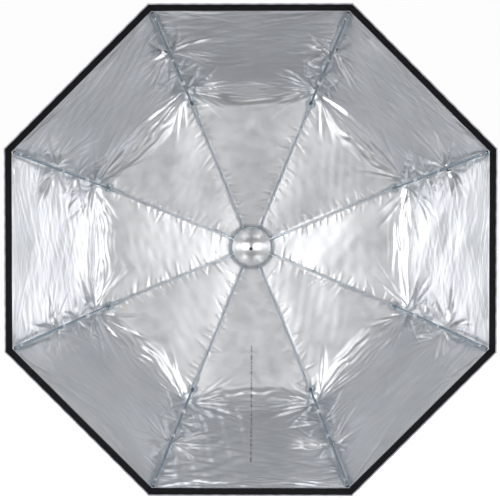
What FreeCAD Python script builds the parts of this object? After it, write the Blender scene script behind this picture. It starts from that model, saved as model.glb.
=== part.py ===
import FreeCAD, Part
import math
import os

# Folding octagonal softbox with an umbrella frame.
# The shaft lies along Y: the open mouth faces -Y, the back of the box is at +Y, and +Z is up.
# The origin is on the shaft, 1 mm in front of the apex of the hub dome, where the free shaft begins.
# All dimensions are in millimetres.

# ---- driving dimensions ----
RIBS = 8
ACROSS_FLATS = 1090.0        # over the piping of the front edge
FRONT_Y = -390.0             # plane of the front edge
PIPING_D = 3.0
BAND_WIDTH = 25.0            # loop tape inside the front edge
BAND_T = 1.2

SHAFT_D = 8.0                # umbrella shaft that the light's bracket clamps
SHAFT_WALL = 0.8
SHAFT_FREE = 200.0           # free length in front of the dome
SHAFT_BACK_Y = 74.0

CROWN_R = 51.0
CROWN_Y0, CROWN_Y1 = 45.5, 55.5
PIVOT_R = 47.0               # radius of the rib pivots and of the stretcher pivots
PIVOT_Y = 52.0               # plane of the rib pivots
PIN_D = 3.0
EYE_CLEAR = 0.06             # on the diameter

ELBOW_R = 388.0              # knee hinge of the open frame
ELBOW_Y = 10.0
RIB_W, RIB_H = 4.0, 7.4      # inner rib, a U channel open to the front
RIB_WALL = 0.7
OUTER_D = 6.0                # outer rib tube
TIP_BACK = 28.0              # from rib tip to the front edge, along the wall

RUNNER_R = 50.6
RUNNER_DROP = 16.8691        # rib pivot plane to stretcher pivot plane, frame open
RUNNER_TRAVEL = 64.0
RUNNER_BORE_D = 8.12
RUNNER_PIN_D = 2.5
STRETCHER_L = 35.0179
DOME_R = 48.5
DOME_H = 29.9
DOME_T = 1.2

CLOTH_OFF = 9.0              # inner rib centreline to the silver lining
CLOTH_KNEE_R = 422.0         # the cloth turns forward at this corner radius, outside the elbows
LINING_T = 0.4
SHELL_GAP = 0.2              # between lining and shell
SHELL_T = 0.6
HUB_FLAT_R = 44.0            # corner radius of the flat round the hub

ZIP_Y_W = 24.0               # width of the zip tape
ZIP_BACK_R = 250.0           # where the zip starts on the back panel, from the axis
ZIP_FRONT_R = 492.0          # where it ends on the side panel
ZIP_TRAVEL = 170.0         # from the mouth towards the knee

V = FreeCAD.Vector
os.makedirs("parts", exist_ok=True)
HALF = math.pi / RIBS
CH = math.cos(HALF)


def save(node, shapes):
    shapes = shapes if isinstance(shapes, list) else [shapes]
    shape = shapes[0] if len(shapes) == 1 else Part.makeCompound(shapes)
    shape.exportStep("parts/%s.step" % node)


def phi(k):
    return 22.5 + 45.0 * k


def place(shape, k):
    """A shape drawn on the arm plane (X outward, Y along the shaft, Z sideways), turned to arm k."""
    s = shape.copy()
    s.rotate(V(0, 0, 0), V(0, 1, 0), -phi(k))
    return s


def at(rho, y, k):
    """The point of the corner plane of arm k at radius rho and depth y."""
    a = math.radians(phi(k))
    return V(rho * math.cos(a), y, rho * math.sin(a))


def ydisc(r, y0, y1, r_in=0.0):
    s = Part.makeCylinder(r, y1 - y0, V(0, y0, 0), V(0, 1, 0))
    if r_in:
        s = s.cut(Part.makeCylinder(r_in, y1 - y0 + 2, V(0, y0 - 1, 0), V(0, 1, 0)))
    return s


def cross_pin(d, length, rho, y):
    """A pin across the arm plane."""
    return Part.makeCylinder(d / 2, length, V(rho, y, -length / 2), V(0, 0, 1))


def along(x0, x1, y0, y1, z0, z1, origin, angle):
    """A box in a link's own frame (x along the link, y to its back), its origin moved to a point of the arm plane and turned: angle is measured from -Y towards outward."""
    b = Part.makeBox(x1 - x0, y1 - y0, z1 - z0, V(x0, y0, z0))
    return lay(b, origin, angle)


def lay(shape, origin, angle):
    s = shape.copy()
    s.rotate(V(0, 0, 0), V(0, 0, 1), angle - 90.0)
    s.translate(V(origin[0], origin[1], 0))
    return s


def solid_of(points, faces):
    shell = Part.makeShell([Part.Face(Part.makePolygon([points[i] for i in f] + [points[f[0]]])) for f in faces])
    s = Part.makeSolid(shell)
    if s.Volume < 0:
        s.reverse()
    return s


def panel(a0, a1, b1, b0, k):
    """A flat gore panel between arms k and k+1. a0 and a1 are the inner and outer skins' (rho, y) at one end, b0 and b1 at the other."""
    p = [at(*q, kk) for kk in (k, k + 1) for q in (a0, a1, b1, b0)]
    return solid_of(p, [(0, 1, 2, 3), (7, 6, 5, 4), (0, 4, 5, 1), (1, 5, 6, 2), (2, 6, 7, 3), (3, 7, 4, 0)])


# ---- geometry of the open frame, in the plane of one arm ----
inner_a = math.degrees(math.atan2(ELBOW_R - PIVOT_R, PIVOT_Y - ELBOW_Y))
inner_l = math.hypot(ELBOW_R - PIVOT_R, PIVOT_Y - ELBOW_Y)
edge_r = (ACROSS_FLATS / 2 - PIPING_D / 2) / CH
outer_a = 25.0
for _ in range(60):
    e = (math.sin(math.radians(outer_a)), -math.cos(math.radians(outer_a)))
    n = (-e[1], e[0])
    tip = (edge_r - TIP_BACK * e[0] - (CLOTH_OFF + 0.6) * n[0],
           FRONT_Y - TIP_BACK * e[1] - (CLOTH_OFF + 0.6) * n[1])
    outer_a = math.degrees(math.atan2(tip[0] - ELBOW_R, ELBOW_Y - tip[1]))
outer_l = math.hypot(tip[0] - ELBOW_R, tip[1] - ELBOW_Y)
d_in = (math.sin(math.radians(inner_a)), -math.cos(math.radians(inner_a)))
n_in = (-d_in[1], d_in[0])
d_out = (math.sin(math.radians(outer_a)), -math.cos(math.radians(outer_a)))
n_out = (-d_out[1], d_out[0])
runner_y = PIVOT_Y - RUNNER_DROP
stretcher_a = inner_a + math.degrees(math.asin(RUNNER_DROP * math.sin(math.radians(inner_a)) / STRETCHER_L))
pin_on_rib = STRETCHER_L * math.sin(math.radians(stretcher_a)) / math.sin(math.radians(inner_a))


# ---- the cloth's lines in the corner plane: off is the distance outside the lining's silver face ----
knee_0 = (CLOTH_KNEE_R, PIVOT_Y + CLOTH_OFF * n_in[1] + (CLOTH_KNEE_R - PIVOT_R - CLOTH_OFF * n_in[0]) * d_in[1] / d_in[0])
side_a = math.atan2(edge_r - 0.8 - knee_0[0], knee_0[1] - FRONT_Y)
d_side = (math.sin(side_a), -math.cos(side_a))
n_side = (-d_side[1], d_side[0])
SHELL_IN = LINING_T + SHELL_GAP
SHELL_OUT = SHELL_IN + SHELL_T


def knee(off):
    s = off / (1 + n_in[0] * n_side[0] + n_in[1] * n_side[1])
    return (knee_0[0] + s * (n_in[0] + n_side[0]), knee_0[1] + s * (n_in[1] + n_side[1]))


def back_at(off, rho):
    """Depth of the back cloth at a corner radius."""
    k = knee(off)
    return k[1] + (rho - k[0]) * d_in[1] / d_in[0]


def side_at(off, y):
    """Corner radius of the side cloth at a depth."""
    k = knee(off)
    return k[0] + (y - k[1]) * d_side[0] / d_side[1]


# ---- shaft ----
shaft = ydisc(SHAFT_D / 2, -SHAFT_FREE, SHAFT_BACK_Y, SHAFT_D / 2 - SHAFT_WALL)
detent_y = 20.0
shaft = shaft.cut(Part.makeTorus(SHAFT_D / 2 + 1.5, 1.8, V(0, detent_y, 0), V(0, 1, 0)))
# a shallow ring groove under the dome's nose marks how far the bracket's holder may come
shaft = shaft.cut(ydisc(SHAFT_D, 0.0, 1.2, SHAFT_D / 2 - 0.3))
save("shaft", shaft)
plug = ydisc(SHAFT_D / 2 - 0.5, -SHAFT_FREE - 2.5, -SHAFT_FREE).fuse(ydisc(SHAFT_D / 2 - SHAFT_WALL, -SHAFT_FREE - 0.01, -SHAFT_FREE + 12))
plug = plug.makeFillet(1.2, [x for x in plug.Edges if abs(x.BoundBox.YMin + SHAFT_FREE + 2.5) < 1e-6 and x.BoundBox.YLength < 1e-6])
save("shaft_end_plug", plug.removeSplitter())

# ---- crown, fixed on the shaft, with a slot and a pin for each rib ----
crown = ydisc(CROWN_R, CROWN_Y0, CROWN_Y1, SHAFT_D / 2).fuse(ydisc(12.0, CROWN_Y0 - 3.0, CROWN_Y0, SHAFT_D / 2))
crown = crown.removeSplitter()
pins = []
for k in range(RIBS):
    crown = crown.cut(place(Part.makeBox(30, 20, RIB_W + 0.6, V(40.0, CROWN_Y0 - 4, -(RIB_W + 0.6) / 2)), k))
    pin = place(cross_pin(PIN_D, 13.0, PIVOT_R, PIVOT_Y), k)
    pins.append(pin)
    crown = crown.cut(pin)
screw_at = [V(24 * math.cos(math.radians(45 * i)), 0, 24 * math.sin(math.radians(45 * i))) for i in (0, 2, 4, 6)]
for p in screw_at:
    crown = crown.cut(Part.makeCylinder(2.0, 40, V(p.x, CROWN_Y0 + 2, p.z), V(0, 1, 0)))
save("crown", crown)
save("crown_pins", pins)

# ---- fabric clamp at the hub ----
hub_y0 = back_at(0.0, HUB_FLAT_R)
hub_y1 = back_at(LINING_T, HUB_FLAT_R)
hub_y2 = back_at(SHELL_OUT, HUB_FLAT_R)


def octagon(r, y0, y1, r_in):
    pts = [at(r, y0, k) for k in range(RIBS)]
    s = Part.Face(Part.makePolygon(pts + [pts[0]])).extrude(V(0, y1 - y0, 0))
    return s.cut(Part.makeCylinder(r_in, y1 - y0 + 2, V(0, y0 - 1, 0), V(0, 1, 0)))


def screw_holes(s, r=2.0):
    for p in screw_at:
        s = s.cut(Part.makeCylinder(r, 60, V(p.x, 30, p.z), V(0, 1, 0)))
    return s


save("seat_washer", screw_holes(ydisc(37.0, CROWN_Y1, hub_y0, SHAFT_D / 2)))
save("hub_patch", screw_holes(octagon(HUB_FLAT_R, hub_y1, hub_y2, SHAFT_D / 2)))
cap_y1 = hub_y2 + 7.0
cap = ydisc(34.0, hub_y2, cap_y1, SHAFT_D / 2)
cap = cap.makeFillet(2.0, [x for x in cap.Edges if abs(x.BoundBox.YMin - cap_y1) < 1e-6 and x.BoundBox.YLength < 1e-6 and x.BoundBox.XLength > 60])
cap = screw_holes(cap)
for p in screw_at:
    cap = cap.cut(Part.makeCylinder(3.8, 10, V(p.x, cap_y1 - 2.6, p.z), V(0, 1, 0)))
save("rear_cap", cap)
screws = []
for p in screw_at:
    s = Part.makeCylinder(2.0, cap_y1 - 2.6 - CROWN_Y0 - 2.0, V(p.x, CROWN_Y0 + 2.0, p.z), V(0, 1, 0))
    head = Part.makeCylinder(3.5, 2.4, V(p.x, cap_y1 - 2.6, p.z), V(0, 1, 0))
    slot = Part.makeBox(1.0, 1.0, 5.4, V(p.x - 0.5, cap_y1 - 1.0, p.z - 2.7))
    screws.append(s.fuse(head).cut(slot).removeSplitter())
save("cap_screws", screws)

# ---- runner, sliding on the shaft ----
ry0, ry1 = runner_y - 4.0, runner_y + 4.0
runner = ydisc(RUNNER_R, ry0, ry1).fuse(ydisc(9.0, 8.0, ry0)).removeSplitter()
runner = runner.cut(ydisc(RUNNER_BORE_D / 2, 0.0, 60.0))
rpins = []
for k in range(RIBS):
    runner = runner.cut(place(Part.makeBox(30, 20, 2.8, V(41.0, ry0 - 5, -1.4)), k))
    pin = place(cross_pin(RUNNER_PIN_D, 11.0, PIVOT_R, runner_y), k)
    rpins.append(pin)
    runner = runner.cut(pin)
    # lightening pocket between two slots
    a = math.radians(phi(k) + 22.5)
    runner = runner.cut(Part.makeCylinder(6.0, 5.0, V(30 * math.cos(a), ry1 - 3.0, 30 * math.sin(a)), V(0, 1, 0)))
pocket = Part.makeCylinder(1.55, 10, V(RUNNER_BORE_D / 2 - 1, detent_y, 0), V(1, 0, 0))
runner = runner.cut(pocket)
save("runner", runner)
save("runner_pins", rpins)
ball = Part.makeSphere(1.5, V(RUNNER_BORE_D / 2 + 1.44, detent_y, 0))
save("detent_ball", ball)
coil_r, wire_r = 0.95, 0.22
sx0, sx1 = RUNNER_BORE_D / 2 + 1.44 + 1.5, 9.0
helix = Part.makeHelix(0.62, sx1 - sx0 - 2 * wire_r - 0.1, coil_r)
prof = Part.Wire([Part.makeCircle(wire_r, V(coil_r, 0, 0), V(0, 1, 0.1))])
spring = Part.Wire(helix.Edges).makePipeShell([prof], True, True)
spring.rotate(V(0, 0, 0), V(0, 1, 0), 90)
spring.translate(V(sx0 + wire_r + 0.02, detent_y, 0))
save("detent_spring", spring)

# ---- dome over the runner ----
R_out = (DOME_R ** 2 + DOME_H ** 2) / (2 * DOME_H)
dome_base = ry0
centre = V(0, dome_base - DOME_H + R_out, 0)
ball_o = Part.makeSphere(R_out, centre)
ball_i = Part.makeSphere(R_out - DOME_T, centre)
dome = ball_o.cut(ball_i).common(Part.makeCylinder(DOME_R + 5, DOME_H + 1, V(0, dome_base - DOME_H - 1, 0), V(0, 1, 0)))
dome = dome.cut(Part.makeCylinder(SHAFT_D / 2 + 0.3, 40, V(0, dome_base - DOME_H - 5, 0), V(0, 1, 0)))
# notches in the rim: one at the middle of each gore and one close to each side of every rib
for k in range(RIBS):
    for turn in (-4.8, 4.8, 22.5):
        notch = Part.makeBox(4.0, 3.0, 1.6, V(DOME_R - 2.6, dome_base - 2.6, -0.8))
        notch.rotate(V(0, 0, 0), V(0, 1, 0), -(phi(k) + turn))
        dome = dome.cut(notch)
save("dome", dome)

# ---- arms ----
for k in range(RIBS):
    n = k + 1
    pivot, elbow = (PIVOT_R, PIVOT_Y), (ELBOW_R, ELBOW_Y)
    # inner rib: U channel with a round eye at the crown and a slot for the stretcher's pin
    h = RIB_H / 2
    body = Part.makeBox(inner_l - 8.0, RIB_H, RIB_W, V(0, -h, -RIB_W / 2)).fuse(Part.makeCylinder(h, RIB_W, V(0, 0, -RIB_W / 2), V(0, 0, 1))).removeSplitter()
    body = body.cut(Part.makeBox(inner_l - 12.0 - 8.0, RIB_H - RIB_WALL, RIB_W - 2 * RIB_WALL, V(12.0, -h, -RIB_W / 2 + RIB_WALL)))
    body = body.cut(Part.makeCylinder((PIN_D + EYE_CLEAR) / 2, 20, V(0, 0, -10), V(0, 0, 1)))
    slot = Part.makeBox(32.0, 4.6, 20, V(27.0, -2.3, -10))
    body = body.cut(slot)
    save("inner_rib_%d" % n, place(lay(body, pivot, inner_a), k))

    # stretcher: a flat strip with a round eye on the runner, which runs inside the rib's channel,
    # and a pin through the rib's slot
    hs = 1.6
    st = Part.makeBox(STRETCHER_L, 2 * hs, 2.0, V(0, -hs, -1.0)).fuse(Part.makeCylinder(hs, 2.0, V(STRETCHER_L, 0, -1.0), V(0, 0, 1)))
    st = st.fuse(Part.makeCylinder(2.6, 2.0, V(0, 0, -1.0), V(0, 0, 1)))
    st = st.removeSplitter().cut(Part.makeCylinder((RUNNER_PIN_D + EYE_CLEAR) / 2, 20, V(0, 0, -10), V(0, 0, 1)))
    spin = Part.makeCylinder(1.0, RIB_W + 1.6, V(STRETCHER_L, 0, -RIB_W / 2 - 0.8), V(0, 0, 1))
    st = st.cut(spin)
    save("stretcher_%d" % n, [place(lay(x, (PIVOT_R, runner_y), stretcher_a), k) for x in (st, spin)])

    # elbow: bracket over the end of the inner rib, clevis barrels and hinge pin
    br = Part.makeBox(30.0, RIB_H + 1.6, RIB_W + 1.6, V(-36.0, -h - 0.8, -(RIB_W + 1.6) / 2))
    br = br.fuse(Part.makeBox(3.0, 7.6, 20.0, V(-8.0, -3.8, -10.0)))
    for z in (-10.0, 3.4):
        br = br.fuse(Part.makeBox(8.0, 7.6, 6.6, V(-8.0, -3.8, z))).fuse(Part.makeCylinder(3.8, 6.6, V(0, 0, z), V(0, 0, 1)))
    br = br.removeSplitter()
    rib_end = Part.makeBox(28.1, RIB_H, RIB_W, V(-36.1, -h, -RIB_W / 2))
    br = br.cut(rib_end)
    hinge = Part.makeCylinder(PIN_D / 2, 21.0, V(0, 0, -10.5), V(0, 0, 1))
    rivet = Part.makeCylinder(1.4, RIB_W + 3.2, V(-26.0, 0.4, -(RIB_W + 3.2) / 2), V(0, 0, 1))
    br = br.cut(hinge).cut(rivet)
    inner_walls = Part.makeBox(28.1, RIB_H, RIB_W, V(-36.1, -h, -RIB_W / 2)).cut(Part.makeBox(40, RIB_H - RIB_WALL, RIB_W - 2 * RIB_WALL, V(-46.0, -h, -RIB_W / 2 + RIB_WALL)))
    rivet = rivet.cut(inner_walls)
    rivet_parts = [x for x in rivet.Solids]
    save("elbow_%d" % n, [place(lay(x, elbow, inner_a), k) for x in [br, hinge] + rivet_parts])

    # outer rib: knuckle, tube, tip cap
    kn = Part.makeCylinder(3.7, 6.2, V(0, 0, -3.1), V(0, 0, 1)).fuse(Part.makeBox(16.0, 5.0, 6.2, V(0, -2.5, -3.1)))
    kn = kn.removeSplitter().cut(Part.makeCylinder((PIN_D + EYE_CLEAR) / 2, 20, V(0, 0, -10), V(0, 0, 1)))
    tube = Part.makeCylinder(OUTER_D / 2, outer_l - 16.0 - 4.0, V(16.0, 0, 0), V(1, 0, 0))
    rod = kn.fuse(tube).removeSplitter()
    riv = Part.makeCylinder(1.6, 8.0, V(52.0 * 2 + 2, -4.6, 0), V(0, 1, 0))
    rod = rod.cut(riv)
    capt = Part.makeCylinder(4.0, 16.0, V(outer_l - 12.0, 0, 0), V(1, 0, 0))
    capt = capt.makeFillet(2.5, [x for x in capt.Edges if abs(x.BoundBox.XMin - (outer_l + 4.0)) < 1e-6 and x.BoundBox.XLength < 1e-6])
    capt = capt.cut(Part.makeCylinder(OUTER_D / 2, 8.0, V(outer_l - 12.0, 0, 0), V(1, 0, 0)))
    save("outer_rib_%d" % n, [place(lay(x, elbow, outer_a), k) for x in (rod, riv, capt)])

# ---- fabric ----
lining = [octagon(HUB_FLAT_R, hub_y0, hub_y1, SHAFT_D / 2)]
lining = [screw_holes(lining[0])]
end_y = FRONT_Y + PIPING_D / 2
for k in range(RIBS):
    o0, o1 = 0.0, LINING_T
    a0, a1 = (HUB_FLAT_R, back_at(o0, HUB_FLAT_R)), (HUB_FLAT_R, back_at(o1, HUB_FLAT_R))
    k0, k1 = knee(o0), knee(o1)
    lining.append(panel(a0, a1, k1, k0, k))
    lining.append(panel(k0, k1, (side_at(o1, end_y), end_y), (side_at(o0, end_y), end_y), k))
    s0, s1 = SHELL_IN, SHELL_OUT
    a0, a1 = (HUB_FLAT_R, back_at(s0, HUB_FLAT_R)), (HUB_FLAT_R, back_at(s1, HUB_FLAT_R))
    k0, k1 = knee(s0), knee(s1)
    save("shell_gore_%d" % (k + 1), [panel(a0, a1, k1, k0, k),
                                     panel(k0, k1, (side_at(s1, end_y), end_y), (side_at(s0, end_y), end_y), k)])
save("silver_lining", lining)

band = []
by = end_y + BAND_WIDTH * math.cos(side_a)
for k in range(RIBS):
    o0, o1 = -BAND_T, 0.0
    band.append(panel((side_at(o0, by), by), (side_at(o1, by), by), (side_at(o1, end_y), end_y), (side_at(o0, end_y), end_y), k))
save("edge_band", band)

piping = []
for k in range(RIBS):
    p0, p1 = at(edge_r, FRONT_Y, k), at(edge_r, FRONT_Y, k + 1)
    d = p1.sub(p0)
    d.normalize()
    c = Part.makeCylinder(PIPING_D / 2, p0.distanceToPoint(p1) + 20, p0.sub(V(d.x * 10, 0, d.z * 10)), d)
    w = [V(0, FRONT_Y - 10, 0), at(800, FRONT_Y - 10, k), at(800, FRONT_Y - 10, k + 1)]
    wedge = Part.Face(Part.makePolygon(w + [w[0]])).extrude(V(0, 20, 0))
    piping.append(c.common(wedge))
save("edge_piping", piping)

# ---- zip in the bottom panels, from the back over the knee towards the mouth ----
# The gore's middle line, in the plane X = 0 below the shaft: m is the distance below the axis.
side_dir = (d_side[0] * CH, d_side[1])
sl = math.hypot(*side_dir)
side_dir = (side_dir[0] / sl, side_dir[1] / sl)
side_n = (-side_dir[1], side_dir[0])
back_dir = (d_in[0] * CH, d_in[1])
bl = math.hypot(*back_dir)
back_dir = (back_dir[0] / bl, back_dir[1] / bl)
back_n = (-back_dir[1], back_dir[0])
off = SHELL_OUT
kn_m = (knee(off)[0] * CH, knee(off)[1])


def strip(p, direction, normal, l0, l1, h0, h1, w):
    """A bar on the middle line: along a direction from p, between two heights over the shell, w wide."""
    q = [(p[0] + direction[0] * l + normal[0] * hh, p[1] + direction[1] * l + normal[1] * hh) for l, hh in ((l0, h0), (l1, h0), (l1, h1), (l0, h1))]
    pts = [V(-w / 2, y, -m) for m, y in q]
    return Part.Face(Part.makePolygon(pts + [pts[0]])).extrude(V(w, 0, 0))


back_len = (kn_m[0] - ZIP_BACK_R) / back_dir[0]
side_len = (ZIP_FRONT_R - kn_m[0]) / side_dir[0]
tape = [strip(kn_m, back_dir, back_n, -back_len, -3.0, 0.0, 0.6, ZIP_Y_W),
        strip(kn_m, side_dir, side_n, 3.0, side_len, 0.0, 0.6, ZIP_Y_W)]
coil = [strip(kn_m, back_dir, back_n, -back_len + 5, -3.0, 0.6, 1.8, 4.0),
        strip(kn_m, side_dir, side_n, 3.0, side_len - 5, 0.6, 1.8, 4.0)]
save("zip_tape", tape)
save("zip_coil", coil)
sl0 = side_len - 25.0
slider = strip(kn_m, side_dir, side_n, sl0, sl0 + 12.0, 0.9, 4.4, 10.0)
slider = slider.cut(strip(kn_m, side_dir, side_n, sl0 - 1, sl0 + 13.0, 0.0, 2.1, 4.6))
pull = strip(kn_m, side_dir, side_n, sl0 + 2, sl0 + 10.0, 4.4, 6.4, 2.0).fuse(strip(kn_m, side_dir, side_n, sl0 + 6, sl0 + 36.0, 5.0, 6.4, 6.0)).removeSplitter()
save("zip_slider", [slider, pull])

print("inner rib angle %.4f length %.4f" % (inner_a, inner_l))
print("outer rib angle %.4f length %.4f tip %.3f %.3f" % (outer_a, outer_l, *tip))
print("stretcher angle %.4f runner pivot plane y %.4f pin on rib %.3f" % (stretcher_a, runner_y, pin_on_rib))
print("cloth side angle %.4f knee %.4f %.4f" % (math.degrees(side_a), *knee_0))
print("knee of shell %.3f %.3f, hub y %.3f %.3f %.3f cap %.3f" % (*knee(off), hub_y0, hub_y1, hub_y2, cap_y1))
print("zip side dir (down, y) %.6f %.6f length %.2f" % (*side_dir, side_len))
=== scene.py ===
# %% [markdown]
# # A folding octagonal softbox
# The object is a big studio light modifier. Eight jointed ribs spread from a hub like an umbrella's,
# and stretch a cloth bowl that is silver inside and black outside. The front diffuser is off, so the
# whole inside shows. The metal frame comes ready-made and fixed; here it gets its finishes, and all
# the cloth is made new around it.

# %% Load the frame
import math

import bmesh
import bpy
import numpy as np
from mathutils import Matrix, Vector


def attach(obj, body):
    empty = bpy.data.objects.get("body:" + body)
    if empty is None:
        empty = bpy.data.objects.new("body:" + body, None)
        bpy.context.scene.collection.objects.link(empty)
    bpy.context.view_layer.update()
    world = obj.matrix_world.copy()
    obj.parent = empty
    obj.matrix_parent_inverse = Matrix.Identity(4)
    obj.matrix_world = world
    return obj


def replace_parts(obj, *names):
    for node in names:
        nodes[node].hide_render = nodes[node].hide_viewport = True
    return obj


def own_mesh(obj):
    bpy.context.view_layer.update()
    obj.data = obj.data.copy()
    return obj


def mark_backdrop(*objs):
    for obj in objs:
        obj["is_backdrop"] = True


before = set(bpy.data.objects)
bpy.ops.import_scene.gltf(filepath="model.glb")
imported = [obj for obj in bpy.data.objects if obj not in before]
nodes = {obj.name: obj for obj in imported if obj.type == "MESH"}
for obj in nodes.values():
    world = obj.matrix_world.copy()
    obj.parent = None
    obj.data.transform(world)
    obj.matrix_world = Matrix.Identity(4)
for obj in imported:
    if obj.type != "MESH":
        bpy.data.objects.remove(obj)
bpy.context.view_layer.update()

# %% [markdown]
# ## The lines of the cloth
# Each arm has its own corner line, where two gores of cloth are sewn together. Seen in the plane of
# the arm, the line runs from the flat round the hub straight out to a knee, turns, and runs forward
# to the mouth. The cloth is wider at the knee than the ribs' elbows are, so it stands clear of them.

# %% Corner line
RIBS = 8
STEP = 360 / RIBS                      # degrees from one arm to the next
HALF = math.pi / RIBS                  # half of that, in radians
HUB = np.array([0.0440, 0.06144])      # distance from the shaft's axis, and depth
KNEE = np.array([0.4220, 0.01488])
EDGE = np.array([0.58687, -0.3885])
BACK_LEN = float(np.linalg.norm(KNEE - HUB))
SIDE_LEN = float(np.linalg.norm(EDGE - KNEE))
TO_KNEE = (KNEE - HUB) / BACK_LEN
TO_EDGE = (EDGE - KNEE) / SIDE_LEN
print(f"back cloth {BACK_LEN:.3f} m, side cloth {SIDE_LEN:.3f} m along a corner")


def axes_at(degrees):
    """Outward and sideways unit vectors at an angle round the shaft."""
    a = math.radians(degrees)
    return np.array([math.cos(a), 0, math.sin(a)]), np.array([-math.sin(a), 0, math.cos(a)])


def gore_axes(gore):
    """The same for the middle of a gore. Gore 0 lies between arms 0 and 1."""
    return axes_at((gore + 1) * STEP)


def in_arm_plane(arm, pair):
    """A place or a direction in the plane of an arm, from its outward and its depth part."""
    out, _ = axes_at((arm + 0.5) * STEP)
    return out * pair[0] + np.array([0, pair[1], 0])


def placed(x, y, z, at):
    """A matrix with these three axes and this origin."""
    m = Matrix.Identity(4)
    for column, (axis, last) in enumerate(((x, 0), (y, 0), (z, 0), (at, 1))):
        m.col[column] = (*axis, last)
    return m


# %% [markdown]
# ## How the cloth sits
# Thin cloth under tension rounds off the knee between two ribs, and every place where it is pinned
# throws creases: a fan of long straight ones at each knee, short ones along the ribs, small
# gathers where a tie pulls it to a rib, and lines along the taped edge. One function gives the
# depth of all of these at any point of a gore, so that the two halves of a gore always meet.

# %% Crease helpers
def smooth(x, a, b):
    """0 up to a, 1 from b on, and a soft step between them."""
    t = np.clip((x - a) / (b - a), 0, 1)
    return t * t * (3 - 2 * t)


def fan(run, side, origin, rng, count, spread, reach, height, width):
    """Creases that leave one point of the cloth in a fan. Some stand up, some are valleys."""
    dr, ds = run - origin[0], side - origin[1]
    far = np.hypot(dr, ds) + 1e-6
    angle = np.arctan2(dr, ds)
    total = np.zeros_like(run)
    for _ in range(count):
        at = rng.uniform(*spread)
        length = rng.uniform(*reach)
        tall = height * rng.uniform(0.45, 1.0) * (1 if rng.random() < 0.55 else -0.8)
        curl = rng.normal(0, 0.10)
        off = far * (angle - at - curl * far / length)
        wide = width * (0.55 + 0.9 * far / length)
        peak = 0.38 * length                       # a crease is tallest here
        grow = (far / peak) * np.exp(1 - far / peak)
        fade = 1 - smooth(far, 0.75 * length, 1.25 * length)
        total += tall * grow * np.exp(-(np.abs(off) / wide) ** 1.5) * fade
    return total


def crinkle(run, across, rng, waves, length, height, spread=math.pi):
    """Irregular ripples: many plane waves of about one length. A small spread lines them up."""
    total = np.zeros_like(run)
    for _ in range(waves):
        a = rng.uniform(-spread / 2, spread / 2)
        k = 2 * math.pi / rng.uniform(*length)
        total += np.sin(k * (math.cos(a) * run + math.sin(a) * across) + rng.uniform(0, 6.28))
    return total * height / math.sqrt(waves)


def dashes(run, side, rng, start, stop, step, reach, height, width):
    """Short creases square to a rib, one after the other."""
    total = np.zeros_like(run)
    at = start
    while at < stop:
        lean, long = rng.normal(0.15, 0.25), rng.uniform(*reach)
        off = run - at - lean * side
        tall = height * rng.uniform(0.3, 1.0) * (1 if rng.random() < 0.5 else -1)
        fade = smooth(side, 0.001, 0.006) * (1 - smooth(side, 0.4 * long, long))
        total += tall * np.exp(-(np.abs(off) / width) ** 1.6) * fade
        at += step * rng.uniform(0.6, 1.5)
    return total


# %% What the creases are
# "run" is the distance along a gore from the knee: below zero on the back cloth, above zero on the
# side cloth. "side" is the distance from the rib.
TIE_AT, BUTTON_AT = 0.2181, 0.1088     # runs at which a rib pulls the cloth in
TIE_DEEP, BUTTON_DEEP = 0.0145, 0.0100
ROUND = [0.055, 0.055, 0.06, 0.028, 0.055, 0.06, 0.055, 0.030]     # knee radius in each gore's middle
TIGHT = 0.012                          # knee radius at a rib
TAPE_FOOT = SIDE_LEN - 0.0275          # run of the stitched line behind the edge tape
ZIP_GORE = 5
ZIP_FROM, ZIP_TO = -0.1526, 0.2920

# each fan: origin (run, side), how many creases, angles, lengths, height, width
FANS = [
    ((0.006, 0.010), 9, (-1.15, -0.15), (0.06, 0.12), 0.0011, 0.0030),     # knee, on the back cloth
    ((0.006, 0.010), 8, (-0.20, 0.45), (0.10, 0.20), 0.0030, 0.0036),      # along the knee
    ((0.010, 0.006), 10, (0.05, 1.25), (0.07, 0.18), 0.0042, 0.0036),      # knee, on the side cloth
    ((TIE_AT, 0.004), 16, (-1.4, 1.4), (0.04, 0.12), 0.0056, 0.0030),
    ((BUTTON_AT, 0.004), 13, (-1.4, 1.4), (0.03, 0.10), 0.0032, 0.0026),
    ((SIDE_LEN - 0.030, 0.004), 8, (-0.35, 0.10), (0.09, 0.24), 0.0026, 0.0032),     # rib's tip
]
# each row of dashes: first run, last run, step, lengths, height, width
ROWS = [
    (-0.34, -0.03, 0.017, (0.018, 0.050), 0.0010, 0.0017),
    (0.02, 0.36, 0.013, (0.020, 0.075), 0.0019, 0.0022),
]


# %% One function for the whole cloth
def profile(run, radius):
    """The corner line with its knee rounded off: distance from the axis and depth."""
    inside = np.abs(run) < radius
    back = np.where(inside, (radius - run) ** 2 / (4 * radius), np.maximum(-run, 0))
    front = np.where(inside, (radius + run) ** 2 / (4 * radius), np.maximum(run, 0))
    return KNEE + back[:, None] * -TO_KNEE + front[:, None] * TO_EDGE


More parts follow.
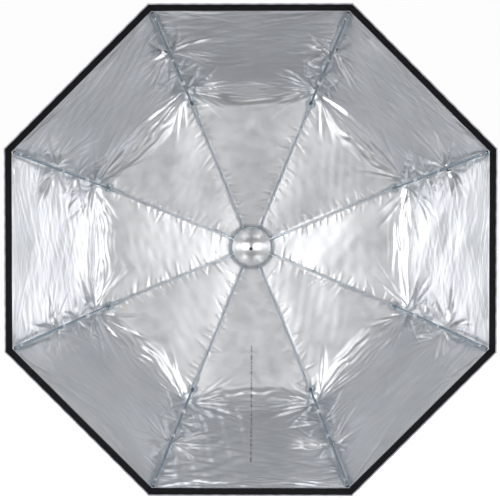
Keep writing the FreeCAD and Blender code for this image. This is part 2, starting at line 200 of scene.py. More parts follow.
def relief(gore, run, w, reach):
    """How far the cloth stands outside its plain surface. w runs from -1 to 1 across the gore."""
    across = w * reach
    low, high = (1 + w) * reach, (1 - w) * reach
    on_side = smooth(run, -0.01, 0.05)
    on_back = 1 - on_side
    h = np.zeros_like(run)

    # creases that start at the ribs
    for end, side in ((0, low), (1, high)):
        rng = np.random.default_rng(100 * gore + end)
        for origin, *shape in FANS:
            h += fan(run, side, origin, rng, *shape)
        for row in ROWS:
            h += dashes(run, side, rng, *row)

    # slack of the whole gore, and its fine crinkle
    rng = np.random.default_rng(900 + gore)
    h += (0.25 + 0.75 * on_side) * crinkle(run, across, rng, 7, (0.12, 0.26), 0.0018)
    h += on_side * crinkle(run, across, rng, 14, (0.012, 0.03), 0.00022, 1.3)
    h += on_side * crinkle(run, across, rng, 10, (0.03, 0.06), 0.00030, 2.2)
    h += on_back * crinkle(run, across, rng, 12, (0.02, 0.05), 0.00006, 2.0)

    # lines that follow the taped edge, and lines that follow the knee
    edge = SIDE_LEN - run
    wander = crinkle(run, across, rng, 5, (0.05, 0.12), 1.0)
    lines = np.sin(2 * math.pi * edge / 0.0085 + 2.5 * wander)
    h += 0.00055 * lines * smooth(edge, 0.026, 0.04) * (1 - smooth(edge, 0.05, 0.11))
    wander = crinkle(run, across, rng, 5, (0.06, 0.14), 1.0)
    knee_lines = np.sin(2 * math.pi * run / 0.021 + 1.6 * wander)
    middle = np.exp(-(w / 0.5) ** 2)
    h += 0.0011 * knee_lines * middle * smooth(run, -0.06, -0.01) * (1 - smooth(run, 0.02, 0.075))

    # gathers at the zip's seam, the looser cloth on one side of it, and the seam's own groove
    if gore == ZIP_GORE:
        zipped = smooth(run, ZIP_FROM, ZIP_FROM + 0.01) * (1 - smooth(run, ZIP_TO, ZIP_TO + 0.01))
        gathers = rng.uniform(0.008, 0.016, 60).cumsum() + ZIP_FROM
        near = np.exp(-(np.abs(across) / 0.016)) * zipped
        for at in gathers:
            h += 0.0009 * near * np.exp(-((run - at) / 0.0022) ** 2) * rng.uniform(-1, 1)
        loose = on_side * (across < 0) * smooth(-across, 0.0, 0.03)
        h += crinkle(run, across, rng, 14, (0.02, 0.05), 0.0010) * loose
        h -= 0.0004 * on_side * np.exp(-(across / 0.0020) ** 2) * zipped

    # the cloth is held flat at the ribs, at the hub and under the tape
    near_rib = np.minimum(low, high)
    h *= smooth(near_rib, 0.0, 0.009)
    h *= smooth(run, -BACK_LEN, -BACK_LEN + 0.03)
    h *= 1 - 0.9 * smooth(run, SIDE_LEN - 0.034, SIDE_LEN - 0.027)

    # the ties pull it in to the ribs, and the tape's stitches pull in a line
    for at, deep in ((TIE_AT, TIE_DEEP), (BUTTON_AT, BUTTON_DEEP)):
        h -= deep * np.exp(-np.hypot((run - at) / 1.1, near_rib) / 0.014)
    h -= 0.0011 * np.exp(-((run - TAPE_FOOT) / 0.0013) ** 2)
    return h


def cloth(gore, run, w, off=0.0):
    """Points of the cloth's silver face, in metres; off moves them outwards."""
    run, w = np.asarray(run, float), np.asarray(w, float)
    out, tangent = gore_axes(gore)
    radius = TIGHT + (ROUND[gore] - TIGHT) * (1 - w ** 2) ** 0.7
    line = profile(run, radius)
    reach = line[:, 0] * math.sin(HALF)
    turn = smooth(run, -radius, radius)
    back_slope = TO_KNEE[1] / (TO_KNEE[0] * math.cos(HALF))
    side_slope = TO_EDGE[0] * math.cos(HALF) / TO_EDGE[1]
    back_n = np.array([-back_slope, 1.0]) / math.hypot(back_slope, 1)
    side_n = np.array([1.0, -side_slope]) / math.hypot(side_slope, 1)
    n = (1 - turn)[:, None] * back_n + turn[:, None] * side_n
    n /= np.linalg.norm(n, axis=1)[:, None]
    h = relief(gore, run, w, reach) + off
    p = line[:, 0:1] * (math.cos(HALF) * out + w[:, None] * math.sin(HALF) * tangent)
    p[:, 1] += line[:, 1]
    return p + h[:, None] * (n[:, 0:1] * out + n[:, 1:2] * np.array([0, 1.0, 0]))


probe = cloth(1, [-0.2, 0.0, 0.2], [0.0, 0.0, 0.0])
print("the middle of the top gore passes", np.round(probe, 3).tolist())

# %% [markdown]
# ## Finishes
# The lining is nylon with a thin layer of aluminium: nearly a mirror at small scale, but its
# weave and its fine crinkle spread the light. So it is a metal with middling roughness, and its
# bumps do the rest. The outside is matt black nylon, and the edge is a black loop tape.

# %% Material helpers
def new_material(name):
    m = bpy.data.materials.new(name)
    m.use_nodes = True
    tree = m.node_tree
    return m, tree, tree.nodes["Principled BSDF"]


def link(tree, a, b):
    tree.links.new(a, b)


def noise(tree, coords, scale, detail=4.0, rough=0.55, warp=0.0):
    n = tree.nodes.new("ShaderNodeTexNoise")
    n.inputs["Scale"].default_value = scale
    n.inputs["Detail"].default_value = detail
    n.inputs["Roughness"].default_value = rough
    n.inputs["Distortion"].default_value = warp
    link(tree, coords, n.inputs["Vector"])
    return n.outputs["Fac"]


def ramp(tree, fac, low, high, a=0.3, b=0.7):
    r = tree.nodes.new("ShaderNodeValToRGB")
    r.color_ramp.elements[0].position, r.color_ramp.elements[1].position = a, b
    r.color_ramp.elements[0].color = (*low, 1) if len(low) == 3 else low
    r.color_ramp.elements[1].color = (*high, 1) if len(high) == 3 else high
    link(tree, fac, r.inputs["Fac"])
    return r.outputs["Color"]


def remap(tree, fac, low, high):
    """The middle of a noise's values, stretched to run from low to high."""
    r = tree.nodes.new("ShaderNodeMapRange")
    r.inputs["From Min"].default_value, r.inputs["From Max"].default_value = 0.3, 0.7
    r.inputs["To Min"].default_value, r.inputs["To Max"].default_value = low, high
    link(tree, fac, r.inputs["Value"])
    return r.outputs["Result"]


def bump(tree, height, strength, distance, below=None):
    b = tree.nodes.new("ShaderNodeBump")
    b.inputs["Strength"].default_value = strength
    b.inputs["Distance"].default_value = distance
    link(tree, height, b.inputs["Height"])
    if below is not None:
        link(tree, below, b.inputs["Normal"])
    return b.outputs["Normal"]


def coordinates(tree, kind="Object"):
    return tree.nodes.new("ShaderNodeTexCoord").outputs[kind]


# %% Silver lining
def silver_cloth():
    m, t, p = new_material("silver_cloth")
    where = coordinates(t)
    tone = ramp(t, noise(t, where, 9, 3), (0.80, 0.81, 0.83), (0.90, 0.905, 0.92))
    # the seam of the zip is a darker line, painted on the mesh as a value at each vertex
    seam = t.nodes.new("ShaderNodeAttribute")
    seam.attribute_name = "seam"
    mix = t.nodes.new("ShaderNodeMix")
    mix.data_type = "RGBA"
    link(t, seam.outputs["Fac"], mix.inputs["Factor"])
    link(t, tone, mix.inputs["A"])
    mix.inputs["B"].default_value = (0.10, 0.11, 0.12, 1)
    link(t, mix.outputs["Result"], p.inputs["Base Color"])
    p.inputs["Metallic"].default_value = 1.0
    link(t, remap(t, noise(t, where, 30, 4), 0.29, 0.36), p.inputs["Roughness"])
    n = bump(t, noise(t, where, 45, 2, 0.5), 0.05, 0.002)
    link(t, n, p.inputs["Normal"])
    return m


def woven(name, dark, light, rough, scale, depth, sheen):
    m, t, p = new_material(name)
    where, uv = coordinates(t), coordinates(t, "UV")
    link(t, ramp(t, noise(t, where, 60, 4), dark, light), p.inputs["Base Color"])
    p.inputs["Roughness"].default_value = rough
    p.inputs["Sheen Weight"].default_value = sheen
    across, along = t.nodes.new("ShaderNodeTexWave"), t.nodes.new("ShaderNodeTexWave")
    along.bands_direction = "Y"
    for w in (across, along):
        w.inputs["Scale"].default_value = scale
        link(t, uv, w.inputs["Vector"])
    n = bump(t, across.outputs["Fac"], 0.5, depth)
    n = bump(t, along.outputs["Fac"], 0.5, depth, n)
    n = bump(t, noise(t, where, 45, 4, 0.6), 0.3, 0.004, n)
    link(t, n, p.inputs["Normal"])
    return m


def loop_tape():
    m, t, p = new_material("loop_tape")
    where = coordinates(t)
    tone = ramp(t, noise(t, where, 500, 4), (0.003, 0.003, 0.004), (0.016, 0.016, 0.018))
    link(t, tone, p.inputs["Base Color"])
    p.inputs["Roughness"].default_value = 0.92
    p.inputs["Specular IOR Level"].default_value = 0.2
    n = bump(t, noise(t, where, 900, 3, 0.7), 0.8, 0.0012)
    link(t, bump(t, noise(t, where, 160, 2), 0.4, 0.002, n), p.inputs["Normal"])
    return m


SILVER = silver_cloth()
NYLON = woven("black_nylon", (0.012, 0.012, 0.013), (0.026, 0.026, 0.028), 0.55, 300, 0.0004, 0.2)
WEBBING = woven("black_webbing", (0.008, 0.008, 0.009), (0.020, 0.020, 0.022), 0.7, 160, 0.0006, 0.1)
PIPING = woven("grey_piping", (0.42, 0.40, 0.46), (0.58, 0.56, 0.62), 0.6, 500, 0.0003, 0.1)
STRAP = woven("pale_strap", (0.62, 0.66, 0.72), (0.80, 0.83, 0.88), 0.5, 500, 0.0003, 0.1)
TAPE = loop_tape()
print("cloth finishes:", [m.name for m in (SILVER, NYLON, WEBBING, PIPING, STRAP, TAPE)])


# %% Metals and plastics
def metal(name, dark, light, rough, grain=120, depth=0.0004, strength=0.15):
    m, t, p = new_material(name)
    where = coordinates(t)
    link(t, ramp(t, noise(t, where, grain * 0.4, 4), dark, light), p.inputs["Base Color"])
    p.inputs["Metallic"].default_value = 1.0
    link(t, remap(t, noise(t, where, grain, 5), rough[0], rough[1]), p.inputs["Roughness"])
    link(t, bump(t, noise(t, where, grain * 2, 4), strength, depth), p.inputs["Normal"])
    return m


def plastic(name, dark, light, rough):
    m, t, p = new_material(name)
    where = coordinates(t)
    link(t, ramp(t, noise(t, where, 80, 4), dark, light), p.inputs["Base Color"])
    p.inputs["Roughness"].default_value = rough
    link(t, bump(t, noise(t, where, 700, 3), 0.25, 0.0005), p.inputs["Normal"])
    return m


CHROME = metal("chrome_dome", (0.88, 0.88, 0.88), (0.95, 0.95, 0.94), (0.285, 0.33), 60, 0.0003, 0.06)
CHANNEL = metal("channel_aluminium", (0.60, 0.66, 0.71), (0.74, 0.79, 0.84), (0.28, 0.42), 200)
STEEL = metal("rib_steel", (0.30, 0.37, 0.44), (0.42, 0.50, 0.57), (0.30, 0.42), 200)
CAST = metal("cast_alloy", (0.36, 0.42, 0.46), (0.52, 0.58, 0.62), (0.34, 0.5), 300, 0.0008, 0.3)
BRIGHT = metal("bright_steel", (0.70, 0.70, 0.71), (0.82, 0.82, 0.82), (0.2, 0.3), 240)
BLACK = plastic("black_plastic", (0.012, 0.012, 0.013), (0.03, 0.03, 0.032), 0.45)
WHITE = plastic("white_plastic", (0.80, 0.82, 0.86), (0.90, 0.91, 0.94), 0.35)
ZIP_TEETH = plastic("zip_teeth", (0.02, 0.02, 0.022), (0.05, 0.05, 0.055), 0.4)

FINISH = {"dome": CHROME, "runner": CAST, "crown": CAST, "shaft": BRIGHT, "shaft_end_plug": BLACK,
          "seat_washer": BLACK, "rear_cap": BLACK, "cap_screws": BRIGHT, "hub_patch": WEBBING,
          "runner_pins": BRIGHT, "crown_pins": BRIGHT, "detent_ball": BRIGHT, "detent_spring": BRIGHT}
for n in range(1, RIBS + 1):
    FINISH[f"inner_rib_{n}"] = CHANNEL
    FINISH[f"stretcher_{n}"] = CHANNEL
    FINISH[f"elbow_{n}"] = CAST
    FINISH[f"outer_rib_{n}"] = STEEL
for name, finish in FINISH.items():
    for slot in nodes[name].material_slots:
        slot.material = finish
print("refinished", len(FINISH), "parts of the frame")

# %% [markdown]
# ## Cloth pieces
# The real cloth is one bag. When the frame folds it goes slack and crumples between the ribs. Every
# gore is cut in halves at its middle, and each half at the knee: the back part moves with its inner
# rib, the side part with its outer rib. Each piece starts as a flat grid that is laid onto the cloth
# function.

# %% Laying a grid on the cloth
RIDES = {"back": "inner_arm_{}", "side": "outer_arm_{}"}


def zip_seam(run, w):
    """How dark the lining is at the zip's seam: a thin line of uneven stitches."""
    across = w * profile(run, np.full_like(run, 0.05))[:, 0] * math.sin(HALF)
    stitches = 0.30 + 0.70 * (np.sin(run * 560 + 3 * np.sin(run * 130)) > 0.3)
    zipped = (run > ZIP_FROM) & (run < ZIP_TO)
    return np.where(zipped, stitches * np.exp(-(across / 0.0014) ** 2), 0)


def lay_grid(name, gore, runs, ws, cells, off=0.0, lift=None, seam=False):
    """A sheet between two runs along the gore and two places across it. Its border is a sharp
    edge, so that thickening it doesn't round the shading at a seam."""
    mesh = bpy.data.meshes.new(name)
    bm = bmesh.new()
    bm.loops.layers.uv.new("UVMap")
    bmesh.ops.create_grid(bm, x_segments=cells[0], y_segments=cells[1], size=0.5, calc_uvs=True)
    for edge in bm.edges:
        edge.smooth = not edge.is_boundary
    bm.to_mesh(mesh)
    bm.free()
    co = np.empty(len(mesh.vertices) * 3)
    mesh.vertices.foreach_get("co", co)
    co = co.reshape(-1, 3)
    run = runs[0] + (co[:, 0] + 0.5) * (runs[1] - runs[0])
    w = ws[0] + (co[:, 1] + 0.5) * (ws[1] - ws[0])
    shift = off if lift is None else off + lift(run)
    mesh.vertices.foreach_set("co", cloth(gore, run, w, shift).reshape(-1))
    index = np.empty(len(mesh.loops), int)
    mesh.loops.foreach_get("vertex_index", index)
    width = w * (0.16 + 0.15 * run)     # near enough the real half width, in metres
    mesh.uv_layers[0].data.foreach_set("uv", np.stack([width[index], run[index]], 1).reshape(-1))
    if seam:
        dark = zip_seam(run, w) if gore == ZIP_GORE else np.zeros(len(run))
        values = mesh.attributes.new("seam", "FLOAT", "POINT").data
        values.foreach_set("value", dark.astype(np.float32))
    mesh.shade_smooth()
    obj = bpy.data.objects.new(name, mesh)
    bpy.context.scene.collection.objects.link(obj)
    return obj


def outward(obj, gore):
    """Turns the faces so that they look at the inside of the bowl."""
    p = obj.data.polygons[len(obj.data.polygons) // 2]
    out, _ = gore_axes(gore)
    if p.normal.dot(Vector((out[0], 0.6, out[2]))) > 0:
        obj.data.flip_normals()
    return obj


def thicken(obj, thickness, *materials):
    """A sheet gets its thickness. The first material is its face, a second one its back and rim."""
    for m in materials:
        obj.data.materials.append(m)
    s = obj.modifiers.new("thickness", "SOLIDIFY")
    s.thickness = thickness
    s.offset = -1
    s.use_rim = True
    if len(materials) > 1:
        s.material_offset = 1
        s.material_offset_rim = 1
    return obj


def draw_in(obj, arm, part):
    """The piece rides its rib, with a mesh of its own."""
    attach(obj, RIDES[part].format(arm + 1))
    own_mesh(obj)
    return obj


# %% The sixteen back halves and sixteen side halves
SKIN_T = 0.0012                        # lining and shell together
FLAP = 0.035                           # the side cloth reaches this far past the knee, over the back
FLAP_LIFT = 0.0026
pieces = []
for arm in range(RIBS):
    for half in (1, -1):
        gore = arm if half > 0 else (arm - 1) % RIBS
        ws = (-1.0, 0.0) if half > 0 else (0.0, 1.0)
        tag = f"{arm + 1}_{'a' if half > 0 else 'b'}"
        back = lay_grid(f"cloth_back_{tag}", gore, (-BACK_LEN, 0.0), ws, (122, 48), seam=True)
        thicken(outward(back, gore), SKIN_T, SILVER, NYLON)
        side = lay_grid(f"cloth_side_{tag}", gore, (-FLAP, SIDE_LEN), ws, (150, 64), seam=True,
                        lift=lambda run: FLAP_LIFT * (1 - smooth(run, -0.012, 0.0)))
        thicken(outward(side, gore), SKIN_T, SILVER, NYLON)
        pieces.append((arm, half, gore, ws, tag, back, side))
print(len(pieces), "half gores, each a back and a side piece")

# %% [markdown]
# ## Tape, piping and seam tapes
# Inside the front edge runs a 25 mm loop tape for the diffuser, and round the very edge a thin
# pale piping. Outside, a black webbing covers each seam where a rib runs.

# %% Edge tape and piping
TAPE_W, TAPE_T = 0.025, 0.0012
PIPE_R = 0.0015
MOUTH_FLAT, PIPE_Y = 0.545, -0.390     # the outermost flat of the mouth, and the piping's plane
PIPE_RING = (MOUTH_FLAT - PIPE_R) / math.cos(HALF)
SEAM_HALF = 0.010                      # half the width of the webbing on a seam


def finish_mesh(bm, name, material, flat=False):
    mesh = bpy.data.meshes.new(name)
    bm.to_mesh(mesh)
    bm.free()
    mesh.materials.append(material)
    if not flat:
        mesh.shade_smooth()
    obj = bpy.data.objects.new(name, mesh)
    bpy.context.scene.collection.objects.link(obj)
    return obj


def edge_tape(gore, ws, tag):
    runs = (SIDE_LEN - TAPE_W, SIDE_LEN - 0.0003)
    tape = lay_grid(f"edge_tape_{tag}", gore, runs, ws, (8, 60), off=-0.0006)
    return thicken(outward(tape, gore), -TAPE_T, TAPE)


def edge_piping(gore, ws, tag):
    """A cord from the corner to the middle of the gore, a little uneven as sewn piping is."""
    out, tangent = gore_axes(gore)
    depth = np.array([0, PIPE_Y, 0])
    a, b = (Vector(PIPE_RING * (math.cos(HALF) * out + w * math.sin(HALF) * tangent) + depth) for w in ws)
    bm = bmesh.new()
    bmesh.ops.create_cone(bm, cap_ends=True, segments=12, radius1=PIPE_R, radius2=PIPE_R,
                          depth=(b - a).length)
    long = [e for e in bm.edges if abs(e.verts[0].co.z - e.verts[1].co.z) > 0.01]
    bmesh.ops.subdivide_edges(bm, edges=long, cuts=40)
    rng = np.random.default_rng(50 + gore)
    phase = rng.uniform(0, 6, 3)
    for v in bm.verts:
        v.co.x += 0.00025 * math.sin(v.co.z * 170 + phase[0])
        v.co.y += 0.00025 * math.sin(v.co.z * 230 + phase[1])
    turn = Vector((0, 0, 1)).rotation_difference((b - a).normalized()).to_matrix().to_4x4()
    bmesh.ops.transform(bm, matrix=Matrix.Translation((a + b) / 2) @ turn, verts=bm.verts)
    corner = a if ws[0] == -1.0 else b
    bmesh.ops.create_uvsphere(bm, u_segments=12, v_segments=8, radius=PIPE_R,
                              matrix=Matrix.Translation(corner))
    return finish_mesh(bm, f"edge_piping_{tag}", PIPING)


def seam_tape(arm, part):
    """Webbing over the seam of one arm, folded along the corner."""
    runs = (-BACK_LEN + 0.012, -0.004) if part == "back" else (0.004, SIDE_LEN - 0.001)
    bm = bmesh.new()
    bmesh.ops.create_grid(bm, x_segments=89, y_segments=6, size=0.5)
    bm.verts.ensure_lookup_table()
    co = np.array([v.co for v in bm.verts])
    run = runs[0] + (co[:, 0] + 0.5) * (runs[1] - runs[0])
    across = co[:, 1] * 2 * SEAM_HALF
    reach = profile(run, np.full_like(run, TIGHT))[:, 0] * math.sin(HALF)
    points = np.empty_like(co)
    for gore, sign in ((arm, 1), ((arm - 1) % RIBS, -1)):
        mine = (across >= 0) if sign > 0 else (across < 0)
        w = (-1 + np.abs(across) / reach) if sign > 0 else (1 - np.abs(across) / reach)
        points[mine] = cloth(gore, run[mine], w[mine], SKIN_T + 0.0010)
    for v, p in zip(bm.verts, points):
        v.co = p
    obj = finish_mesh(bm, f"seam_tape_{part}_{arm + 1}", WEBBING)
    return thicken(outward(obj, arm), -0.0009, WEBBING)


for arm, half, gore, ws, tag, back, side in pieces:
    tape, piping = edge_tape(gore, ws, tag), edge_piping(gore, ws, tag)
    for obj, part, slot, stands_for in ((back, "back", "silver_cloth", "silver_lining"),
                                        (side, "side", "silver_cloth", f"shell_gore_{gore + 1}"),
                                        (tape, "side", "loop_tape", "edge_band"),
                                        (piping, "side", "grey_piping", "edge_piping")):
        draw_in(obj, arm, part)
        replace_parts(obj, stands_for)
for arm in range(RIBS):
    for part in ("back", "side"):
        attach(seam_tape(arm, part), RIDES[part].format(arm + 1))
print("edge tapes, piping and seam tapes are on")

# %% [markdown]
# ## The cloth round the hub
# In the middle the gores end in a flat disc that the rear cap clamps against the crown. It stays
# with the hub, so it rides the fixed frame.

# %% Hub disc
DISC_R, DISC_Y, DISC_AREA = 0.0432, 0.06150, 0.0058
SHAFT_HOLE = 0.0042
bm = bmesh.new()
bmesh.ops.create_circle(bm, cap_ends=False, segments=64, radius=SHAFT_HOLE)
rings = bm.edges[:]
for radius in (0.012, 0.022, 0.032, DISC_R):
    grown = bmesh.ops.extrude_edge_only(bm, edges=rings)["geom"]
    rings = [e for e in grown if isinstance(e, bmesh.types.BMEdge)]
    verts = [v for v in grown if isinstance(v, bmesh.types.BMVert)]
    for v in verts:
        v.co = v.co.normalized() * radius
upright = Matrix.Translation((0, DISC_Y, 0)) @ Matrix.Rotation(math.pi / 2, 4, "X")
bmesh.ops.transform(bm, matrix=upright, verts=bm.verts)
bmesh.ops.recalc_face_normals(bm, faces=bm.faces)
hub_disc = finish_mesh(bm, "hub_cloth_disc", SILVER)
thicken(hub_disc, 0.0003)
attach(hub_disc, "frame")
print("hub disc", hub_disc.dimensions[:])


# %% [markdown]
# ## Buttons, ties and collars on the ribs
# A white plastic button sits on each outer rib a hand's width beyond the elbow. A short strap
# beside it and a wider one further out tie the cloth to the rib, and a bright metal collar sits
# near the rib's tip. They are small and round, so each is turned or bent from a few points.

# %% Parts on the outer ribs
ELBOW = np.array([0.388, 0.010])       # distance from the shaft's axis, and depth
RIB_ANGLE = math.radians(25.3675)      # the outer rib leans out this far from the shaft's direction
RIB_DIR = np.array([math.sin(RIB_ANGLE), -math.cos(RIB_ANGLE)])
RIB_SKIN = 0.0031                      # radius just outside the rib's tube
LOOP_R = 0.0042                        # radius of a strap where it goes round the rib


def rib_matrix(arm, along):
    """A frame on the outer rib: x along it, y outwards to the cloth, z sideways."""
    axis = in_arm_plane(arm, RIB_DIR)
    away = in_arm_plane(arm, (-RIB_DIR[1], RIB_DIR[0]))
    return placed(axis, away, np.cross(axis, away), in_arm_plane(arm, ELBOW) + axis * along)


def turned(name, outline, material, matrix, steps=24):
    """A part turned round its x axis from an outline of (x, radius) points."""
    bm = bmesh.new()
    verts = [bm.verts.new((x, r, 0)) for x, r in outline]
    edges = [bm.edges.new(pair) for pair in zip(verts, verts[1:])]
    bmesh.ops.spin(bm, geom=verts + edges, cent=(0, 0, 0), axis=(1, 0, 0), angle=2 * math.pi,
                   steps=steps, use_merge=True)
    bmesh.ops.remove_doubles(bm, verts=bm.verts, dist=1e-6)
    bmesh.ops.recalc_face_normals(bm, faces=bm.faces)
    bmesh.ops.transform(bm, matrix=matrix, verts=bm.verts)
    return finish_mesh(bm, name, material)


def strap(name, arm, along, width, depth, material):
    """A loop of strap round the rib that reaches back to the cloth."""
    bm = bmesh.new()
    n = 28
    for i in range(n):
        a = 2 * math.pi * i / n
        y = math.cos(a)
        stretch = depth * (0.5 + 0.5 * y) if y > 0 else 0
        pinch = 1 - 0.45 * max(y, 0)
        bm.verts.new((-width / 2, LOOP_R * y + stretch, LOOP_R * math.sin(a) * pinch))
    bm.verts.ensure_lookup_table()
    edges = [bm.edges.new((bm.verts[i], bm.verts[(i + 1) % n])) for i in range(n)]
    got = bmesh.ops.extrude_edge_only(bm, edges=edges)["geom"]
    for v in got:
        if isinstance(v, bmesh.types.BMVert):
            v.co.x += width
    bmesh.ops.recalc_face_normals(bm, faces=bm.faces)
    bmesh.ops.solidify(bm, geom=bm.faces[:], thickness=0.0006)
    bmesh.ops.transform(bm, matrix=rib_matrix(arm, along), verts=bm.verts)
    return finish_mesh(bm, name, material)


BUTTON = [(-0.0045, RIB_SKIN), (-0.0045, 0.0048), (-0.0035, 0.0056), (0.0, 0.0059),
          (0.0035, 0.0056), (0.0045, 0.0048), (0.0045, RIB_SKIN), (-0.0045, RIB_SKIN)]
COLLAR = [(-0.004, RIB_SKIN), (-0.004, 0.0040), (0.0, 0.0043), (0.004, 0.0040),
          (0.004, RIB_SKIN), (-0.004, RIB_SKIN)]
for arm in range(RIBS):
    n = arm + 1
    parts = ((turned(f"button_{n}", BUTTON, WHITE, rib_matrix(arm, 0.106)), "black_plastic"),
             (strap(f"rib_tie_{n}", arm, 0.218, 0.010, 0.012, STRAP), "silver_cloth"),
             (strap(f"button_strap_{n}", arm, 0.1145, 0.006, 0.017, STRAP), "silver_cloth"),
             (turned(f"tip_collar_{n}", COLLAR, BRIGHT, rib_matrix(arm, 0.400)), "steel"))
    for obj, slot in parts:
        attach(obj, RIDES["side"].format(n))
print("buttons, ties and collars on", RIBS, "outer ribs")

# %% [markdown]
# ## The zip
# The stand that holds the light comes in through a zip in the middle of the bottom gore. Its tape
# lies on the black side and follows the cloth over the knee. It is laid with the same function as
# the cloth, so it follows every crease, and its teeth are real blocks in a row.

# %% Zip tape and teeth
ZIP_SHARE = 0.08                       # half the tape's width, as a share of the gore's
ZIP_ARM, ZIP_HALF = 5, 1               # the half gore that carries the zip when the frame folds
TOOTH_STEP, TOOTH_SIZE = 0.0028, (0.0040, 0.0016, 0.0014)


def zip_strip(name, runs, off):
    obj = lay_grid(name, ZIP_GORE, runs, (-ZIP_SHARE, ZIP_SHARE), (90, 8), off=off)
    return thicken(outward(obj, ZIP_GORE), -0.0007, WEBBING)


def tooth_row(name, runs):
    """The zip's teeth: small blocks in a row along the middle of the gore."""
    bm = bmesh.new()
    count = int((runs[1] - runs[0]) / TOOTH_STEP)
    mids = np.linspace(runs[0] + 0.001, runs[1] - 0.001, count)
    points = cloth(ZIP_GORE, mids, np.zeros(count), SKIN_T + 0.0024)
    for i, p in enumerate(points):
        ahead = points[min(i + 1, count - 1)] - points[max(i - 1, 0)]
        ahead /= np.linalg.norm(ahead)
        side = np.array([1.0, 0, 0])
        m = placed(side, ahead, np.cross(side, ahead), p)
        made = bmesh.ops.create_cube(bm, size=1.0)["verts"]
        shift = Matrix.Translation((0.0006 if i % 2 else -0.0006, 0, 0))
        bmesh.ops.transform(bm, matrix=m @ shift @ Matrix.Diagonal((*TOOTH_SIZE, 1)), verts=made)
    bmesh.ops.recalc_face_normals(bm, faces=bm.faces)
    return finish_mesh(bm, name, ZIP_TEETH, flat=True)


TAPE_OFF = SKIN_T + 0.0016
for part, runs, off in (("back", (ZIP_FROM, -0.002), TAPE_OFF + 0.0030), ("side", (0.002, ZIP_TO), TAPE_OFF)):
    tape = zip_strip(f"zip_tape_{part}", runs, off)
    teeth = tooth_row(f"zip_teeth_{part}", runs)
    for obj, node, slot in ((tape, "zip_tape", "black_nylon"), (teeth, "zip_coil", "black_plastic")):
        draw_in(obj, ZIP_ARM, part)
        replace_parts(obj, node)


# %% [markdown]
# ## The zip's slider
# The slider is a small metal block with a bridge on it and a pull tab, and it stands at the mouth
# end of the zip. Three blocks with soft edges are made where it lies on the cloth, and joined.

# %% Soft-edged blocks
def rounded_block(size, matrix, bevel):
    """A block with soft edges, as a bmesh."""
    bm = bmesh.new()
    bmesh.ops.create_cube(bm, size=1.0, matrix=Matrix.Diagonal((*size, 1)))
    bmesh.ops.bevel(bm, geom=bm.edges[:], offset=bevel, affect="EDGES", segments=3, profile=0.5, material=-1)
    bmesh.ops.transform(bm, matrix=matrix, verts=bm.verts)
    return bm


def join_bmesh(bms, name, material):
    """Several bmeshes become one object."""
    whole = bmesh.new()
    for bm in bms:
        part = bpy.data.meshes.new("part")
        bm.to_mesh(part)
        bm.free()
        whole.from_mesh(part)
        bpy.data.meshes.remove(part)
    return finish_mesh(whole, name, material)


# %% The slider on the cloth
SLIDER_AT = 0.262                      # its run along the side cloth
out, tangent = gore_axes(ZIP_GORE)
along = Vector(out) * (TO_EDGE[0] * math.cos(HALF)) + Vector((0, TO_EDGE[1], 0))
along.normalize()
side_dir = Vector(tangent)
up = side_dir.cross(along)
if up.dot(Vector(out)) < 0:
    up.negate()
seat = Vector(cloth(ZIP_GORE, [SLIDER_AT], [0.0], SKIN_T + 0.0034)[0])
place = placed(side_dir, along, up, seat)
body = rounded_block((0.0095, 0.0125, 0.0030), place @ Matrix.Translation((0, 0, 0.0006)), 0.0008)
bridge = rounded_block((0.0022, 0.0090, 0.0022), place @ Matrix.Translation((0, 0, 0.0030)), 0.0006)
tab = rounded_block((0.0060, 0.0260, 0.0013), place @ Matrix.Translation((0, 0.0150, 0.0042)), 0.0005)
slider = join_bmesh([body, bridge, tab], "zip_slider_body", CAST)
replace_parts(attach(slider, "zip_slide_body"), "zip_slider")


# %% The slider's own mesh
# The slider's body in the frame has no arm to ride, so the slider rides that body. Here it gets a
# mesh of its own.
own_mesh(slider)
print("the zip runs", round(ZIP_TO - ZIP_FROM, 3), "m")

# %% [markdown]
# ## Floor, light and camera
# Studio light: a big soft panel on each side of the camera and a weak one from above. Silver cloth
# shows what it faces, so the sky is dark low down and paler above, and the floor in front is grey.
# The camera itself sees a white sky, and a floor behind the object that glows white, so that the
# object stands on plain white.

# %% Stage
def pale(name, glow, tone):
    """A matt grey that can glow. The glow is left out when lamps are sampled, which keeps it quiet."""
    m, _, p = new_material(name)
    p.inputs["Base Color"].default_value = (tone, tone, tone, 1)
    p.inputs["Roughness"].default_value = 0.9
    p.inputs["Emission Color"].default_value = (1, 1, 1, 1)
    p.inputs["Emission Strength"].default_value = glow
    m.cycles.emission_sampling = "NONE"
    return m


def sweep(name, line, width, material):
    """A sheet pulled sideways from a line of (depth, height) points."""
    bm = bmesh.new()
    verts = [bm.verts.new((-width / 2, y, z)) for y, z in line]
    edges = [bm.edges.new(pair) for pair in zip(verts, verts[1:])]
    got = bmesh.ops.extrude_edge_only(bm, edges=edges)["geom"]
    for v in got:
        if isinstance(v, bmesh.types.BMVert):
            v.co.x += width
    bmesh.ops.recalc_face_normals(bm, faces=bm.faces)
    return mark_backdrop(finish_mesh(bm, name, material))


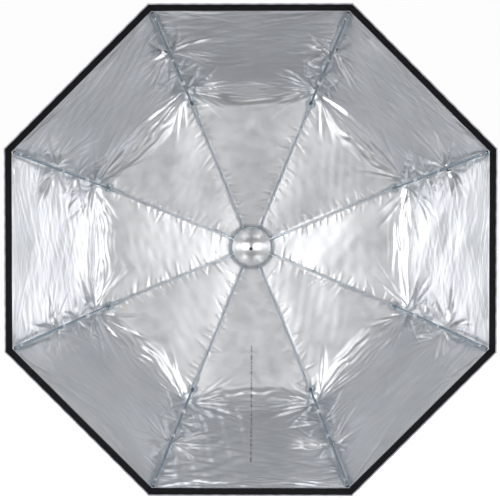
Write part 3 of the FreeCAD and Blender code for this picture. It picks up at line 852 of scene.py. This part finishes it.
def panel_light(name, azimuth, height, away, size, power, colour=(1, 1, 1)):
    """A soft panel that looks at the box from a compass angle off its front, in degrees."""
    data = bpy.data.lights.new(name, "AREA")
    data.shape = "RECTANGLE"
    data.size, data.size_y = size
    data.energy = power
    data.color = colour
    obj = bpy.data.objects.new(name, data)
    a, e = math.radians(azimuth), math.radians(height)
    place = Vector((math.sin(a) * math.cos(e), -math.cos(a) * math.cos(e), math.sin(e))) * away
    obj.location = place
    obj.rotation_euler = (-place).to_track_quat("-Z", "Y").to_euler()
    bpy.context.scene.collection.objects.link(obj)
    return obj


FLOOR_Z, FLOOR_TURNS = -0.75, 0.3      # height of the floor, and the depth at which it turns white
sweep("floor", [(-6.0, FLOOR_Z), (FLOOR_TURNS, FLOOR_Z)], 12.0, pale("pale_floor", 0.0, 0.30))
sweep("white_floor", [(FLOOR_TURNS, FLOOR_Z), (9.0, FLOOR_Z)], 16.0, pale("white_floor", 0.95, 0.86))
panel_light("panel_left", -40, 2, 2.9, (3.2, 1.6), 40)
panel_light("panel_right", 40, 2, 2.9, (3.2, 1.6), 40)
panel_light("panel_top", 0, 75, 2.6, (1.6, 1.0), 10, (0.92, 0.96, 1.0))

world = bpy.data.worlds.new("studio")
bpy.context.scene.world = world
world.use_nodes = True
sky = world.node_tree
height = sky.nodes.new("ShaderNodeSeparateXYZ")
link(sky, coordinates(sky, "Generated"), height.inputs["Vector"])
seen = sky.nodes.new("ShaderNodeMix")
seen.data_type = "RGBA"
link(sky, sky.nodes.new("ShaderNodeLightPath").outputs["Is Camera Ray"], seen.inputs["Factor"])
gradient = ramp(sky, height.outputs["Z"], (0.05, 0.05, 0.053), (0.31, 0.32, 0.335), 0.05, 0.8)
link(sky, gradient, seen.inputs["A"])
seen.inputs["B"].default_value = (0.98, 0.98, 0.98, 1)
link(sky, seen.outputs["Result"], sky.nodes["Background"].inputs["Color"])

CAMERA_AT = (0.021, -3.390, 0.0711)
camera_data = bpy.data.cameras.new("camera")
camera_data.lens = 97.74
camera_data.sensor_width = 36
camera = bpy.data.objects.new("camera", camera_data)
camera.location = CAMERA_AT
camera.rotation_euler = (math.pi / 2 - 0.02318, 0, 0.00722)
bpy.context.scene.collection.objects.link(camera)
bpy.context.scene.camera = camera
bpy.context.scene.view_settings.view_transform = "Standard"
print("the camera stands", round(-0.39 - CAMERA_AT[1], 2), "m in front of the mouth")
